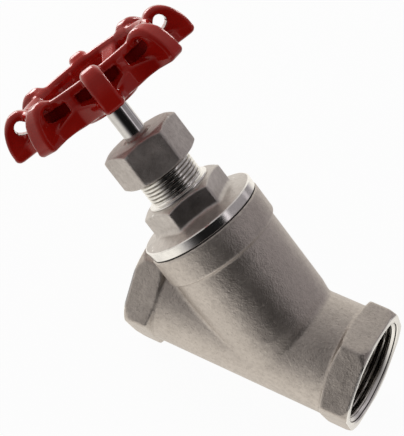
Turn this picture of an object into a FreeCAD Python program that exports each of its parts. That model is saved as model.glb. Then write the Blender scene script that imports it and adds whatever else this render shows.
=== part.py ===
import FreeCAD, Part
import math
import os

# Angle seat valve with G 1 1/4 female ports, opened and closed by a handwheel.
# Sizes are millimetres. The run lies along X, Z is up, and the stem leans back over the outlet in the XZ plane.
# The pieces are drawn about the crossing of the run and stem axes and moved at the end,
# so that the origin is on the run's axis where the inlet thread starts.
# Each port is bored to its thread's minor diameter. The bore's length is that of the thread and its run-out.

# Ports and run
port_minor_dia = 38.95
port_pitch = 2.309
port_turns = 6
mouth_dia = 42.8
port_runout = 1.5
inlet_reach = 35.7
outlet_reach = 63.2
port_hex_flats = 46.0
port_hex_turn = 30
port_hex_length = 12.3
port_hex_back_step = 0.5
port_hex_back_chamfer = 1.5
port_hex_face_chamfer = 3.6
face_ring_dia = 48.8
run_dia = 45.2
run_bore = 36.0

# Barrel, collar and seat
stem_angle = 45.0
barrel_dia = 46.4
barrel_foot_inset = 0.6
barrel_foot_height = 12.0
barrel_wall = 3.6
collar_dia = 49.3
collar_wall = 4.3
collar_height = 12.2
collar_fillet = 1.3
collar_clearance = 1.5
bonnet_bore_chamfer = 0.6
seat_bore = 30.0
seat_height = 6.0
seat_wall = 5.0
seat_land = 2.4
seat_relief = 0.8

# Bonnet
gasket_thickness = 0.4
gasket_inset = 0.5
bonnet_rim_dia = 49.0
bonnet_rim_height = 4.1
bonnet_rim_chamfer = 0.35
dome_rise = 1.9
dome_foot = 2.0
bonnet_hex_flats = 30.5
bonnet_hex_height = 8.6
bonnet_hex_chamfer = 1.2
bonnet_hex_turn = -10.6
neck_cone_dia = 26.4
neck_cone_height = 2.4
neck_dia = 22.9
neck_length = 18.8
neck_pitch = 1.5
neck_thread_depth = 0.8
neck_chamfer = 0.9
spigot_length = 9.0
spigot_wall = 3.2
bell_rise = 2.0
screw_relief_depth = 3.5
screw_relief_wall = 1.0

# Stem
stem_dia = 9.3
screw_dia = 12.0
screw_pitch = 2.5
screw_depth = 1.1
screw_stop = 0.5
lift = 10.0
stem_head_dia = 16.0
stem_head_height = 4.0
stem_exposed = 14.7
square_flats = 7.0
stud_top_dia = 6.0
stem_end = 0.7

# Packing and gland
packing_wall = 3.4
packing_washer_height = 1.3
packing_ring_count = 4
packing_ring_height = 2.3
packing_ridge = 0.6
follower_plunge = 2.0
follower_flange = 1.4
follower_flange_wall = 2.4
gland_travel = 0.7
nut_engagement = 7.8
nut_cap = 3.6
nut_flats = 28.5
nut_chamfer = 1.2
nut_recess_width = 1.5
nut_recess_depth = 1.5
nut_turn = -14.1

# Plug
seal_thickness = 4.0
seal_lip = 1.6
plug_rim = 0.6
plug_clearance = 1.6
plug_disc = 5.0
boss_wall = 2.8
trap_depth = 8.0
trap_hex_flats = 19.0
trap_hex_height = 4.0
stud_dia = 10.0
seal_washer_dia = 24.0
seal_washer_height = 1.6
seal_nut_flats = 16.0
seal_nut_height = 6.0
stud_end = 1.2

# Handwheel
hub_dia = 28.0
hub_foot_dia = 23.0
hub_foot_height = 3.6
hub_height = 7.6
hub_drop = 4.1
ring_height = 14.3
ring_bore = 50.0
ring_wall = 2.2
flange_dia = 59.2
top_flange = 4.4
bottom_flange = 6.6
lobe_count = 8
lobe_reach = 41.3
lobe_rise = 2.3
lobe_width = 7.4
lobe_crown_reach = 4.6
lobe_shoulder_drop = 1.8
lobe_back_inset = 1.4
lobe_back_drop = 5.0
lobe_foot_chamfer = 1.4
hole_reach = 4.9
hole_drop = 1.1
hole_margin = 0.3
foot_width = 11.8
foot_edge = 2.4
foot_step = 0.2
foot_spread = 18.0
foot_sag = 1.2
foot_inset = 0.4
rib_width = 2.4
spoke_count = 4
spoke_width = 8.0
spoke_depth = 5.0
spoke_drop = 1.5
spoke_step = 0.3
wheel_turn = 4.2
wheel_washer_dia = 12.0
wheel_washer_height = 1.2
wheel_nut_flats = 10.0
wheel_nut_height = 5.0

# Clearances, each on the radius or between two flat faces
thread_gap = 0.08
running_gap = 0.06
loose_gap = 0.3
square_gap = 0.05
face_gap = 0.1

# Shares of a thread's pitch taken by its flat crest and its flat root
crest_share = 0.16
root_share = 0.10

mouth_bevel = (mouth_dia - port_minor_dia) / 2

# Levels along the stem, from the crossing of the axes. The collar's low corner clears the outlet hexagon.
lean = math.radians(stem_angle)
joint_rise = port_hex_flats / 2 + collar_clearance + collar_dia / 2 * math.cos(lean)
joint_height = joint_rise / math.sin(lean)
barrel_foot_radius = min(run_dia, barrel_dia) / 2 - barrel_foot_inset
chamber_radius = barrel_dia / 2 - barrel_wall
bonnet_bore_radius = collar_dia / 2 - collar_wall
spigot_radius = bonnet_bore_radius - thread_gap
rim_base = joint_height + gasket_thickness
rim_top = rim_base + bonnet_rim_height
hex_base = rim_top + dome_rise
hex_top = hex_base + bonnet_hex_height
neck_base = hex_top + neck_cone_height
neck_top = neck_base + neck_length
nut_base = neck_top - nut_engagement
nut_under = neck_top + gland_travel + follower_flange
nut_top = nut_under + nut_cap
packing_radius = stem_dia / 2 + packing_wall
packing_top = neck_top - follower_plunge
rings_base = packing_top - packing_ring_count * packing_ring_height
packing_base = rings_base - packing_washer_height
screw_bore_top = packing_base - screw_relief_depth
bell_roof = rim_base + bell_rise
screw_top = packing_base - lift - screw_stop
screw_base = bell_roof - lift
hub_base = nut_top + stem_exposed
hub_top = hub_base + hub_height
wheel_washer_top = hub_top + wheel_washer_height
wheel_nut_top = wheel_washer_top + wheel_nut_height
stem_top = wheel_nut_top + stem_end
ring_base = hub_base + hub_drop
ring_top = ring_base + ring_height
seat_rim_radius = seat_bore / 2 + seat_land
plug_radius = chamber_radius - plug_clearance
seal_radius = plug_radius - plug_rim
seal_base = seat_height + running_gap
disc_base = seal_base + seal_thickness
disc_top = disc_base + plug_disc
head_base = disc_top + face_gap
head_top = head_base + stem_head_height
trap_base = head_top + face_gap
boss_top = trap_base + trap_depth
pocket_radius = stem_head_dia / 2 + loose_gap
seal_washer_base = seal_base - seal_washer_height
seal_nut_base = seal_washer_base - seal_nut_height
stud_base = seal_nut_base - stud_end


def point(radius, height):
    return FreeCAD.Vector(radius, 0, height)


def revolved(points):
    """A solid of revolution about the stem from its half outline of (radius, height) points."""
    corners = [point(radius, height) for radius, height in points]
    face = Part.Face(Part.makePolygon(corners + corners[:1]))
    return face.revolve(FreeCAD.Vector(0, 0, 0), FreeCAD.Vector(0, 0, 1), 360)


def rod(radius, base, top):
    return Part.makeCylinder(radius, top - base, FreeCAD.Vector(0, 0, base))


def ring(inner, outer, base, top):
    return rod(outer, base, top).cut(rod(inner, base, top))


def corner_radius(flats):
    return flats / 2 / math.cos(math.pi / 6)


def hex_bar(flats, base, top, turn):
    """A hexagonal bar about the stem, one corner turned from the leaning X direction by turn degrees."""
    radius = corner_radius(flats)
    corners = []
    for side in range(7):
        angle = math.radians(turn + 60 * side)
        corners.append(FreeCAD.Vector(radius * math.cos(angle), radius * math.sin(angle), base))
    return Part.Face(Part.makePolygon(corners)).extrude(FreeCAD.Vector(0, 0, top - base))


def hex_nut(flats, base, top, turn, base_chamfer, top_chamfer):
    """A hexagonal bar whose corners are turned down to cones that start inside the flats."""
    corner = corner_radius(flats)
    envelope = revolved([
        (0, base),
        (flats / 2 - base_chamfer / 2, base),
        (corner, base + base_chamfer),
        (corner, top - top_chamfer),
        (flats / 2 - top_chamfer / 2, top),
        (0, top),
    ])
    return hex_bar(flats, base, top, turn).common(envelope)


def groove_points(crest_radius, root_radius, first, pitch, turns):
    """Corners of the ring grooves that stand for a thread, from the height first upwards."""
    points = []
    for turn in range(turns):
        start = first + turn * pitch
        slope = (1 - crest_share - root_share) / 2 * pitch
        points.append((crest_radius, start))
        points.append((root_radius, start + slope))
        points.append((root_radius, start + slope + root_share * pitch))
        points.append((crest_radius, start + 2 * slope + root_share * pitch))
    return points


def to_inlet(shape):
    """Turns a piece drawn about the stem's upright axis so that its top faces out of the inlet."""
    return shape.rotated(FreeCAD.Vector(0, 0, 0), FreeCAD.Vector(0, 1, 0), 90)


def to_outlet(shape):
    return shape.rotated(FreeCAD.Vector(0, 0, 0), FreeCAD.Vector(0, 1, 0), -90)


def to_stem(shape):
    """Leans a piece drawn upright into the stem's direction."""
    return shape.rotated(FreeCAD.Vector(0, 0, 0), FreeCAD.Vector(0, 1, 0), stem_angle - 90)


def port_end(reach):
    """The hexagon of one port, drawn upright, with flats above and below once it is turned."""
    base = reach - port_hex_length
    corner = corner_radius(port_hex_flats)
    envelope = revolved([
        (0, base),
        (port_hex_flats / 2 + port_hex_back_step, base),
        (corner, base + port_hex_back_chamfer),
        (corner, reach - port_hex_face_chamfer),
        (face_ring_dia / 2, reach),
        (0, reach),
    ])
    return hex_bar(port_hex_flats, base, reach, port_hex_turn).common(envelope)


def port_hole(reach):
    """The hole of one port: a mouth bevel, and the thread's length at its minor diameter."""
    minor = port_minor_dia / 2
    first = reach - mouth_bevel
    end = first - port_turns * port_pitch - port_runout
    return revolved([(0, end), (minor, end), (minor, first), (minor + mouth_bevel, reach), (0, reach)])


def body_outside():
    run_length = inlet_reach + outlet_reach - 2 * port_hex_length
    run_start = FreeCAD.Vector(port_hex_length - outlet_reach, 0, 0)
    run = Part.makeCylinder(run_dia / 2, run_length, run_start, FreeCAD.Vector(1, 0, 0))
    barrel_top = joint_height - collar_height / 2
    barrel = to_stem(revolved([
        (0, 0), (barrel_foot_radius, 0), (barrel_dia / 2, barrel_foot_height),
        (barrel_dia / 2, barrel_top), (0, barrel_top),
    ]))
    collar = rod(collar_dia / 2, joint_height - collar_height, joint_height)
    low_edge = [edge for edge in collar.Edges if edge.BoundBox.ZMax < joint_height - collar_height / 2]
    collar = collar.makeFillet(collar_fillet, low_edge)
    ends = [to_inlet(port_end(inlet_reach)), to_outlet(port_end(outlet_reach))]
    return run.fuse([barrel, to_stem(collar)] + ends)


def body_cavity():
    """The water way: inlet under the seat wall, seat hole, chamber above it and outlet."""
    reach = inlet_reach + outlet_reach
    bore = Part.makeCylinder(run_bore / 2, reach, FreeCAD.Vector(-outlet_reach, 0, 0), FreeCAD.Vector(1, 0, 0))
    under = to_stem(rod(reach, -reach, seat_height - seat_wall))
    over = to_stem(rod(reach, seat_height - seat_relief, reach))
    chamber = to_stem(rod(chamber_radius, seat_height - seat_relief, joint_height))
    top_bore = rod(bonnet_bore_radius, joint_height - spigot_length - loose_gap, joint_height)
    bevel = revolved([
        (0, joint_height - bonnet_bore_chamfer),
        (bonnet_bore_radius, joint_height - bonnet_bore_chamfer),
        (bonnet_bore_radius + bonnet_bore_chamfer, joint_height),
        (0, joint_height),
    ])
    seat_hole = to_stem(rod(seat_bore / 2, seat_height - seat_wall - face_gap, seat_height))
    seat_ring = to_stem(ring(seat_bore / 2, seat_rim_radius, seat_height - seat_relief, seat_height))
    upper = bore.common(over).fuse(chamber).cut(seat_ring)
    lower = bore.common(under)
    ports = [to_inlet(port_hole(inlet_reach)), to_outlet(port_hole(outlet_reach))]
    return [lower, upper, seat_hole, to_stem(top_bore.fuse(bevel))] + ports


def make_valve_body():
    return body_outside().cut(body_cavity()).removeSplitter()


def make_bonnet_gasket():
    outer = collar_dia / 2 - gasket_inset
    return to_stem(ring(bonnet_bore_radius + bonnet_bore_chamfer, outer, joint_height, rim_base))


def make_bonnet():
    rim = bonnet_rim_dia / 2
    screw_radius = screw_dia / 2 + running_gap
    relief_radius = screw_radius + screw_relief_wall
    bell_radius = spigot_radius - spigot_wall
    thread_turns = int((neck_length - neck_chamfer) / neck_pitch)
    points = [(bell_radius, rim_base - spigot_length), (spigot_radius, rim_base - spigot_length)]
    points += [(spigot_radius, rim_base), (rim - bonnet_rim_chamfer, rim_base)]
    points += [(rim, rim_base + bonnet_rim_chamfer), (rim, rim_top - bonnet_rim_chamfer)]
    points += [(rim - bonnet_rim_chamfer, rim_top), (bonnet_hex_flats / 2 + dome_foot, hex_base)]
    points += [(neck_cone_dia / 2, hex_base), (neck_cone_dia / 2, hex_top), (neck_dia / 2, neck_base)]
    crest = neck_dia / 2
    first = neck_base + crest_share * neck_pitch
    points += groove_points(crest, crest - neck_thread_depth, first, neck_pitch, thread_turns)
    points += [(crest, neck_top - neck_chamfer), (crest - neck_chamfer, neck_top), (packing_radius, neck_top)]
    points += [(packing_radius, packing_base), (relief_radius, packing_base), (relief_radius, screw_bore_top)]
    points += [(screw_radius, screw_bore_top), (screw_radius, bell_roof), (bell_radius, bell_roof)]
    core = revolved(points)
    bore = rod(screw_radius, hex_base - dome_rise, hex_top)
    nut = hex_nut(bonnet_hex_flats, hex_base - dome_rise, hex_top, bonnet_hex_turn, 0, bonnet_hex_chamfer)
    return to_stem(core.fuse(nut.cut(bore)).cut(relief_cut(relief_radius)).removeSplitter())


def relief_cut(relief_radius):
    """Clears the space under the packing and the packing room itself out of the bonnet's hexagon."""
    room = rod(packing_radius, packing_base, neck_top)
    return rod(relief_radius, screw_bore_top, packing_base).fuse(room)


def make_packing_washer():
    inner = stem_dia / 2 + running_gap
    outer = packing_radius - running_gap
    middle = (inner + outer) / 2
    return to_stem(revolved([
        (inner, packing_base), (outer, packing_base), (outer, rings_base),
        (middle, rings_base + packing_ridge), (inner, rings_base),
    ]))


def make_packing_ring(index):
    inner = stem_dia / 2 + running_gap
    outer = packing_radius - running_gap
    middle = (inner + outer) / 2
    base = rings_base + index * packing_ring_height
    top = base + packing_ring_height
    return to_stem(revolved([
        (inner, base), (middle, base + packing_ridge), (outer, base),
        (outer, top), (middle, top + packing_ridge), (inner, top),
    ]))


def make_gland_follower():
    inner = stem_dia / 2 + running_gap
    outer = packing_radius - running_gap
    middle = (inner + outer) / 2
    flange = stem_dia / 2 + packing_wall + follower_flange_wall - neck_chamfer
    flange_base = nut_under - follower_flange
    return to_stem(revolved([
        (inner, packing_top), (middle, packing_top + packing_ridge), (outer, packing_top),
        (outer, flange_base), (flange, flange_base), (flange, nut_under), (inner, nut_under),
    ]))


def make_gland_nut():
    nut = hex_nut(nut_flats, nut_base, nut_top, nut_turn, nut_chamfer, nut_chamfer)
    hole = stem_dia / 2 + loose_gap
    thread = rod(neck_dia / 2 + thread_gap, nut_base, nut_under)
    recess = rod(hole + nut_recess_width, nut_top - nut_recess_depth, nut_top)
    return to_stem(nut.cut([thread, recess, rod(hole, nut_under, nut_top)]))


def make_stem():
    shank = screw_dia / 2
    slim = stem_dia / 2
    shoulder = shank - slim
    turns = int((screw_top - screw_base - shoulder) / screw_pitch)
    points = [(0, head_base), (stem_head_dia / 2, head_base), (stem_head_dia / 2, head_top), (shank, head_top)]
    points += groove_points(shank, shank - screw_depth, screw_base, screw_pitch, turns)
    points += [(shank, screw_top - shoulder), (slim, screw_top), (slim, hub_base), (0, hub_base)]
    shaft = revolved(points)
    half = square_flats / 2
    square = Part.makeBox(square_flats, square_flats, hub_height, FreeCAD.Vector(-half, -half, hub_base))
    square = turned(square.common(rod(slim, hub_base, hub_top)), wheel_turn)
    return to_stem(shaft.fuse([square, rod(stud_top_dia / 2, hub_top, stem_top)]))


def make_plug():
    boss = pocket_radius + boss_wall
    stud = stud_dia / 2
    return to_stem(revolved([
        (0, stud_base), (stud, stud_base), (stud, disc_base), (seal_radius + running_gap, disc_base),
        (seal_radius + running_gap, disc_base - seal_lip), (plug_radius, disc_base - seal_lip),
        (plug_radius, disc_top), (boss, disc_top), (boss, boss_top), (pocket_radius, boss_top),
        (pocket_radius, disc_top), (0, disc_top),
    ]))


def make_plug_trap_nut():
    hole = screw_dia / 2 + loose_gap
    tube = ring(hole, pocket_radius - thread_gap, trap_base, boss_top)
    cap = hex_nut(trap_hex_flats, boss_top, boss_top + trap_hex_height, 0, 0, nut_chamfer)
    return to_stem(tube.fuse(cap.cut(rod(hole, boss_top, boss_top + trap_hex_height))))


def make_seal_ring():
    return to_stem(ring(stud_dia / 2 + running_gap, seal_radius, seal_base, disc_base))


def make_seal_washer():
    return to_stem(ring(stud_dia / 2 + running_gap, seal_washer_dia / 2, seal_washer_base, seal_base))


def make_seal_nut():
    nut = hex_nut(seal_nut_flats, seal_nut_base, seal_washer_base, 0, nut_chamfer, nut_chamfer)
    return to_stem(nut.cut(rod(stud_dia / 2 + thread_gap, seal_nut_base, seal_washer_base)))


def turned(shape, angle):
    return shape.rotated(FreeCAD.Vector(0, 0, 0), FreeCAD.Vector(0, 0, 1), angle)


def around(shape, count, start):
    """Copies of one piece of the handwheel, evenly spaced about the stem."""
    return [turned(shape, start + 360 / count * index) for index in range(count)]


def slab(edges, width):
    """A flat outline in the plane of one lobe or spoke, given its width across that plane."""
    face = Part.Face(Part.Wire(edges))
    return face.extrude(FreeCAD.Vector(0, width, 0)).translated(FreeCAD.Vector(0, -width / 2, 0))


def line(start, end):
    return Part.LineSegment(start, end).toShape()


def arc(start, middle, end):
    return Part.Arc(start, middle, end).toShape()


def wheel_ring():
    """The rim: a wall with two flanges, open outwards between them."""
    inner = ring_bore / 2
    wall = inner + ring_wall
    flange = flange_dia / 2
    return revolved([
        (inner, ring_base), (flange, ring_base), (flange, ring_base + bottom_flange),
        (wall, ring_base + bottom_flange), (wall, ring_top - top_flange), (flange, ring_top - top_flange),
        (flange, ring_top), (inner, ring_top),
    ])


def wheel_lobe():
    """One grip lobe: a strap that arches from the top flange out and down to the foot, with an eye in it."""
    root = ring_bore / 2 + ring_wall / 2
    wall = ring_bore / 2 + ring_wall
    flange = flange_dia / 2
    crown = wall + lobe_crown_reach
    shoulder = crown + lobe_crown_reach
    back_top = point(shoulder, ring_top + lobe_rise - lobe_shoulder_drop)
    back_low = point(lobe_reach, ring_base + lobe_foot_chamfer)
    back_middle = point(lobe_reach - lobe_back_inset, back_top.z - lobe_back_drop)
    start = point(wall, ring_top)
    foot = point(lobe_reach - lobe_foot_chamfer, ring_base)
    heel = point(root, ring_base)
    nape = point(root, ring_top - top_flange / 2)
    outline = [
        arc(start, point(crown, ring_top + lobe_rise), back_top),
        arc(back_top, back_middle, back_low),
        line(back_low, foot),
        line(foot, heel),
        line(heel, nape),
        line(nape, start),
    ]
    eye_low = point(root, ring_base + bottom_flange + hole_margin)
    eye_far = point(flange + hole_reach, eye_low.z + lobe_rise)
    eye_side = point(flange + hole_reach, ring_top - top_flange)
    eye_top = point(flange + hole_reach / 2, ring_top - hole_drop)
    eye_near = point(flange, ring_top - top_flange - hole_margin)
    eye_back = point(root, ring_top - top_flange - hole_margin)
    eye = [
        line(eye_low, eye_far),
        line(eye_far, eye_side),
        arc(eye_side, eye_top, eye_near),
        line(eye_near, eye_back),
        line(eye_back, eye_low),
    ]
    return slab(outline, lobe_width).cut(slab(eye, lobe_width))


def wheel_foot():
    """The scallop under one lobe, swept in on both sides to the bottom flange and sloped on top."""
    flange = flange_dia / 2
    half = foot_width / 2
    spread = math.radians(foot_spread)
    tip = lobe_reach - lobe_foot_chamfer
    root_right = FreeCAD.Vector(flange * math.cos(spread), flange * math.sin(spread), ring_base)
    root_left = FreeCAD.Vector(root_right.x, -root_right.y, ring_base)
    tip_right = FreeCAD.Vector(tip, half, ring_base)
    tip_left = FreeCAD.Vector(tip, -half, ring_base)
    sweep = (root_right + tip_right) * 0.5 - FreeCAD.Vector(0, foot_sag, 0)
    mirrored = FreeCAD.Vector(sweep.x, -sweep.y, ring_base)
    outline = [
        arc(root_right, sweep, tip_right),
        arc(tip_right, FreeCAD.Vector(lobe_reach - foot_inset, 0, ring_base), tip_left),
        arc(tip_left, mirrored, root_left),
        line(root_left, root_right),
    ]
    block = Part.Face(Part.Wire(outline)).extrude(FreeCAD.Vector(0, 0, bottom_flange))
    slope_top = ring_base + bottom_flange - foot_step
    slope = revolved([
        (0, ring_base), (lobe_reach, ring_base), (lobe_reach, ring_base + foot_edge),
        (flange, slope_top), (0, slope_top),
    ])
    return block.common(slope)


def wheel_rib():
    wall = ring_bore / 2 + ring_wall / 2
    height = ring_height - bottom_flange - top_flange
    corner = FreeCAD.Vector(wall, -rib_width / 2, ring_base + bottom_flange)
    return Part.makeBox(flange_dia / 2 - loose_gap - wall, rib_width, height, corner)


def wheel_spoke():
    inner = stem_dia
    outer = ring_bore / 2 + ring_wall / 2
    rise = ring_top - spoke_drop
    corners = [
        point(inner, hub_top - spoke_depth), point(outer, rise - spoke_depth),
        point(outer, rise), point(inner, hub_top - spoke_step),
    ]
    edges = [line(corners[side - 1], corners[side]) for side in range(len(corners))]
    return slab(edges, spoke_width)


def wheel_hub():
    return revolved([
        (0, hub_base), (hub_foot_dia / 2, hub_base), (hub_dia / 2, hub_base + hub_foot_height),
        (hub_foot_dia / 2, hub_top), (0, hub_top),
    ])


def make_handwheel():
    step = 360 / lobe_count
    wheel = wheel_ring().fuse(around(wheel_lobe(), lobe_count, wheel_turn))
    wheel = wheel.fuse(around(wheel_foot(), lobe_count, wheel_turn))
    wheel = wheel.fuse(around(wheel_rib(), lobe_count, wheel_turn + step / 2))
    wheel = wheel.fuse(around(wheel_spoke(), spoke_count, wheel_turn + step / 2))
    wheel = wheel.fuse(wheel_hub())
    opening = square_flats + 2 * square_gap
    hole = Part.makeBox(opening, opening, hub_height, FreeCAD.Vector(-opening / 2, -opening / 2, hub_base))
    return to_stem(wheel.cut(turned(hole, wheel_turn)))


def make_wheel_washer():
    return to_stem(ring(stud_top_dia / 2 + thread_gap, wheel_washer_dia / 2, hub_top, wheel_washer_top))


def make_wheel_nut():
    nut = hex_nut(wheel_nut_flats, wheel_washer_top, wheel_nut_top, wheel_turn, 0, nut_chamfer / 2)
    return to_stem(nut.cut(rod(stud_top_dia / 2 + thread_gap, wheel_washer_top, wheel_nut_top)))


def main():
    os.makedirs("parts", exist_ok=True)
    nodes = {
        "valve_body": make_valve_body(),
        "bonnet_gasket": make_bonnet_gasket(),
        "bonnet": make_bonnet(),
        "packing_washer": make_packing_washer(),
        "gland_follower": make_gland_follower(),
        "gland_nut": make_gland_nut(),
        "stem": make_stem(),
        "plug": make_plug(),
        "plug_trap_nut": make_plug_trap_nut(),
        "seal_ring": make_seal_ring(),
        "seal_washer": make_seal_washer(),
        "seal_nut": make_seal_nut(),
        "handwheel": make_handwheel(),
        "wheel_washer": make_wheel_washer(),
        "wheel_nut": make_wheel_nut(),
    }
    for index in range(packing_ring_count):
        nodes["packing_ring_" + str(index + 1)] = make_packing_ring(index)
    to_origin = FreeCAD.Vector(mouth_bevel - inlet_reach, 0, 0)
    for name, shape in nodes.items():
        placed = shape.translated(to_origin)
        placed.exportStep("parts/" + name + ".step")
        print(name, "solids", len(placed.Solids), "valid", placed.isValid(), "volume", round(placed.Volume, 1))


main()
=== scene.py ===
import bmesh
import bpy
import math
import numpy as np
from functools import partial, reduce
from mathutils import Matrix, Vector
from types import SimpleNamespace


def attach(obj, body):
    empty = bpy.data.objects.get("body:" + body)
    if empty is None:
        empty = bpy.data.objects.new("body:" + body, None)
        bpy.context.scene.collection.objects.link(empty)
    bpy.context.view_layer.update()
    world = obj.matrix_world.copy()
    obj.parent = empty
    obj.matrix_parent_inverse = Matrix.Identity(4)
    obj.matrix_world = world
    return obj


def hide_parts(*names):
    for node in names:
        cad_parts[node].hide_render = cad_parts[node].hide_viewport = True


# Angle seat valve: cast body, screwed bonnet, gland nut, polished stem and a red handwheel.
# Shapes are worked out in millimetres about the crossing of the run and stem axes,
# and every finished mesh is then moved into the frame, in metres.

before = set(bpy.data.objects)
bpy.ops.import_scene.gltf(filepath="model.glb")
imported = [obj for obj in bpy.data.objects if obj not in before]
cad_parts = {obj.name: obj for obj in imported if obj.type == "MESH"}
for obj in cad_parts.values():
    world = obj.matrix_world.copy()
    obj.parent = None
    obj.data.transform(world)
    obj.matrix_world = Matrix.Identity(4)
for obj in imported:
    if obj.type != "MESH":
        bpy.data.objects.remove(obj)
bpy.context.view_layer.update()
bpy.context.scene.view_settings.view_transform = "Standard"
print("stage: frame loaded")

layout = {"inletPlane": 33.775, "lean": math.radians(45), "wheelTurn": math.radians(4.2)}
leanCos = math.cos(layout["lean"])
leanSin = math.sin(layout["lean"])
sin60 = 0.8660254


# Placing and making meshes

def leanBack(points):  # from the stem's own upright frame to the valve's
    across, side, up = points[:, 0], points[:, 1], points[:, 2]
    return np.stack([leanSin * across - leanCos * up, side, leanCos * across + leanSin * up], 1)


def alongRun(points, sign):  # from a port's own upright frame, its axis pointing out of the valve
    return np.stack([points[:, 2] * sign, points[:, 0] * sign, points[:, 1]], 1)


def toFrame(points):
    return (points - np.array([layout["inletPlane"], 0, 0])) / 1000


def addObject(name, data):
    thing = bpy.data.objects.new(name, data)
    bpy.context.scene.collection.objects.link(thing)
    return thing


def makePiece(name, points, faces, finish):
    mesh = bpy.data.meshes.new(name)
    mesh.from_pydata(toFrame(points).tolist(), [], [list(f) for f in faces])
    mesh.update()
    mesh.polygons.foreach_set("use_smooth", [True] * len(mesh.polygons))
    mesh.materials.append(finish)
    return addObject(name, mesh)


def between(value, limits):
    return limits[0] < value < limits[1]


def addFinish(piece, finish, chosen):  # a second finish, on the faces whose number is chosen
    piece.data.materials.append(finish)
    for number, face in enumerate(piece.data.polygons):
        if chosen(number):
            face.material_index = 1


def weldPiece(piece, distance=0.00001):  # joins a piece's parts and keeps its corners crisp
    shell = bmesh.new()
    shell.from_mesh(piece.data)
    bmesh.ops.remove_doubles(shell, verts=shell.verts, dist=distance)
    bmesh.ops.recalc_face_normals(shell, faces=shell.faces)
    shell.to_mesh(piece.data)
    shell.free()
    piece.data.set_sharp_from_angle(angle=math.radians(35))


def settle(piece, body, slotName, *nodes):
    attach(piece, body)
    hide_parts(*nodes)


# Soft solids: a distance field is skinned with quads, which are then pulled onto the exact surface

def radiusOf(a, b):  # never quite zero, so that it can be divided by
    return np.sqrt(a ** 2 + b ** 2 + 1e-9)


def overlap(*fields):
    return reduce(np.maximum, fields)


def union(*fields):
    return reduce(np.minimum, fields)


def roundJoin(a, b, radius):  # union with a rounded inner corner
    inner = np.sqrt(np.maximum(radius - a, 0) ** 2 + np.maximum(radius - b, 0) ** 2)
    return np.maximum(radius, np.minimum(a, b)) - inner


def roundCut(a, b, radius):  # overlap with a rounded outer edge
    return -roundJoin(-a, -b, radius)


def edgeCorners():  # the two corners of each of a cell's twelve edges
    corners = [(i, j, k) for i in (0, 1) for j in (0, 1) for k in (0, 1)]
    return [(p, q) for p in corners for q in corners
            if sum(q) - sum(p) == 1 and sum(abs(m - n) for m, n in zip(p, q)) == 1]


def cellPoints(value, low, cell, cells):
    spots = np.zeros((len(cells), 3))
    hits = np.zeros(len(cells))
    for p, q in edgeCorners():
        first = value[tuple((cells + p).T)]
        second = value[tuple((cells + q).T)]
        crossed = (first < 0) != (second < 0)
        share = np.where(crossed, first / np.where(crossed, first - second, 1), 0)[:, None]
        spots += (np.array(p) + share * (np.array(q) - np.array(p))) * crossed[:, None]
        hits += crossed
    return low + (cells + spots / hits[:, None]) * cell


def quadsAcross(inside, number, axis, keep):
    other = [n for n in range(3) if n != axis]
    start, stop = np.zeros(3, int), np.array(inside.shape) - 1
    start[other] = 1
    near = tuple(slice(a, b) for a, b in zip(start, stop))
    ahead = tuple(slice(a + (n == axis), b + (n == axis)) for n, (a, b) in enumerate(zip(start, stop)))
    found = np.argwhere(inside[near] != inside[ahead]) + start
    if keep is not None:
        found = found[keep(found)]
    leaving = inside[tuple(found.T)]
    step = np.eye(3, dtype=int)
    ring = [np.zeros(3, int), -step[other[0]], -step[other[0]] - step[other[1]], -step[other[1]]]
    quads = np.stack([number[tuple((found + r).T)] for r in ring], 1)
    turn = leaving if axis != 1 else ~leaving
    quads[~turn] = quads[~turn][:, ::-1]
    return quads


def pullOnto(field, points, cell):
    step, rounds, leastSlope, longestMove = 0.04, 4, 0.2, 0.3
    for _ in range(rounds):
        slope = np.zeros_like(points)
        for axis in range(3):
            shift = np.zeros(3)
            shift[axis] = step
            slope[:, axis] = field(*(points + shift).T) - field(*(points - shift).T)
        slope /= 2 * step
        size = np.maximum((slope ** 2).sum(1), leastSlope)
        move = slope * (field(*points.T) / size)[:, None]
        length = np.sqrt((move ** 2).sum(1))[:, None]
        points = points - move * np.minimum(1, longestMove * cell / np.maximum(length, 1e-9))
    return points


def skinField(field, low, high, cell, keep=None):
    low, high = np.array(low, float), np.array(high, float)
    counts = np.ceil((high - low) / cell).astype(int) + 1
    lines = [low[n] + cell * np.arange(counts[n]) for n in range(3)]
    value = field(*np.meshgrid(*lines, indexing="ij"))
    value = np.where(np.abs(value) < 1e-6, 1e-6, value)
    inside = value < 0
    total = sum(inside[i:counts[0] - 1 + i, j:counts[1] - 1 + j, k:counts[2] - 1 + k].astype(int)
                for i in (0, 1) for j in (0, 1) for k in (0, 1))
    cells = np.argwhere((total > 0) & (total < 8))
    number = np.full(np.array(inside.shape) - 1, -1)
    number[tuple(cells.T)] = np.arange(len(cells))
    points = pullOnto(field, cellPoints(value, low, cell, cells), cell)
    test = (lambda found: keep(low + found * cell)) if keep else None
    quads = np.concatenate([quadsAcross(inside, number, axis, test) for axis in range(3)])
    used = np.unique(quads)
    renumber = np.zeros(len(points), int)
    renumber[used] = np.arange(len(used))
    return points[used], renumber[quads]


# Turned solids: a half outline of (radius, height) spun about the upright axis

def ringFaces(rows, around, closed=False):
    faces = []
    for row in range(rows if closed else rows - 1):
        nextRow = (row + 1) % rows
        for step in range(around):
            nextStep = (step + 1) % around
            faces.append((row * around + step, row * around + nextStep,
                          nextRow * around + nextStep, nextRow * around + step))
    return faces


def turnedShell(outline, around, closed=False):
    outline = np.array(outline, float)
    angles = np.arange(around) * 2 * math.pi / around
    points = np.stack([
        np.outer(outline[:, 0], np.cos(angles)),
        np.outer(outline[:, 0], np.sin(angles)),
        np.repeat(outline[:, 1:], around, 1),
    ], 2).reshape(-1, 3)
    return points, ringFaces(len(outline), around, closed)


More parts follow.
